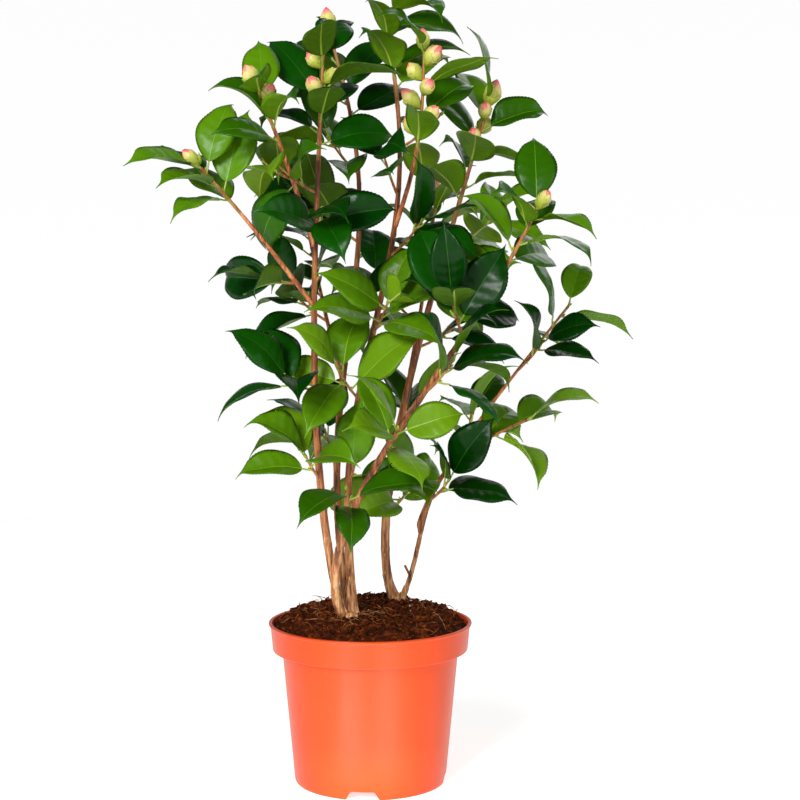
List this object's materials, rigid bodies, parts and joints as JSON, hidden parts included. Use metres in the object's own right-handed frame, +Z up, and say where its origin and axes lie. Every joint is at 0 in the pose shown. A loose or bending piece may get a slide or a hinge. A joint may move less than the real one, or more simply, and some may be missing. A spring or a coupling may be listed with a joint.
{
  "type": "potted camellia shrub",
  "caption": "Evergreen shrub with several slender stems, glossy oval leaves and buds about to open, growing in a round plastic nursery pot filled with peat.",
  "frame": {"origin": "middle of the pot's flat underside", "axes": "+Z straight up through the pot and the crown, -Y towards the front of the shrub, +X to its right"},
  "size_m": [0.467, 0.3813, 0.7271],
  "materials": {
    "pot_plastic": "moulded polypropylene, satin",
    "peat": "moist fibrous peat compost",
    "old_bark": "smooth fawn bark with fine lengthwise cracks",
    "young_bark": "smooth reddish-brown young bark",
    "foliage": "glossy leathery leaves, dark above and yellow-green below"
  },
  "bodies": {
    "root": {"pot": "pot_plastic", "soil": "peat", "stool_left": "old_bark", "stem_outer_left": "old_bark", "stem_back_left": "old_bark", "stem_leaning_right": "old_bark", "stem_tallest": "old_bark", "stool_right": "old_bark", "stem_right": "old_bark", "stem_low_right": "old_bark", "bough_far_right": "young_bark", "bough_far_left": "young_bark", "bough_upper_left": "young_bark", "bough_of_buds": "young_bark", "bough_back": "young_bark", "bough_back_right": "young_bark", "spray_outer_left_tip": "foliage", "spray_back_left_tip": "foliage", "spray_leaning_right_tip": "foliage", "spray_tallest_tip": "foliage", "spray_right_tip": "foliage", "spray_low_right_tip": "foliage", "spray_far_right_tip": "foliage", "spray_far_left_tip": "foliage", "spray_upper_left_tip": "foliage", "spray_of_buds_tip": "foliage", "spray_back_tip": "foliage", "spray_back_right_tip": "foliage", "spray_outer_left_1": "foliage", "spray_outer_left_2": "foliage", "spray_outer_left_3": "foliage", "spray_outer_left_4": "foliage", "spray_back_left_1": "foliage", "spray_back_left_2": "foliage", "spray_back_left_3": "foliage", "spray_back_left_4": "foliage", "spray_leaning_right_1": "foliage", "spray_leaning_right_2": "foliage", "spray_leaning_right_3": "foliage", "spray_leaning_right_4": "foliage", "spray_tallest_1": "foliage", "spray_tallest_2": "foliage", "spray_tallest_3": "foliage", "spray_tallest_4": "foliage", "spray_tallest_5": "foliage", "spray_tallest_6": "foliage", "spray_right_1": "foliage", "spray_right_2": "foliage", "spray_right_3": "foliage", "spray_right_4": "foliage", "spray_right_5": "foliage", "spray_low_right_1": "foliage", "spray_far_right_1": "foliage", "spray_far_right_2": "foliage", "spray_far_left_1": "foliage", "spray_upper_left_1": "foliage", "spray_back_1": "foliage", "spray_back_right_1": "foliage"}
  },
  "joints": []
}
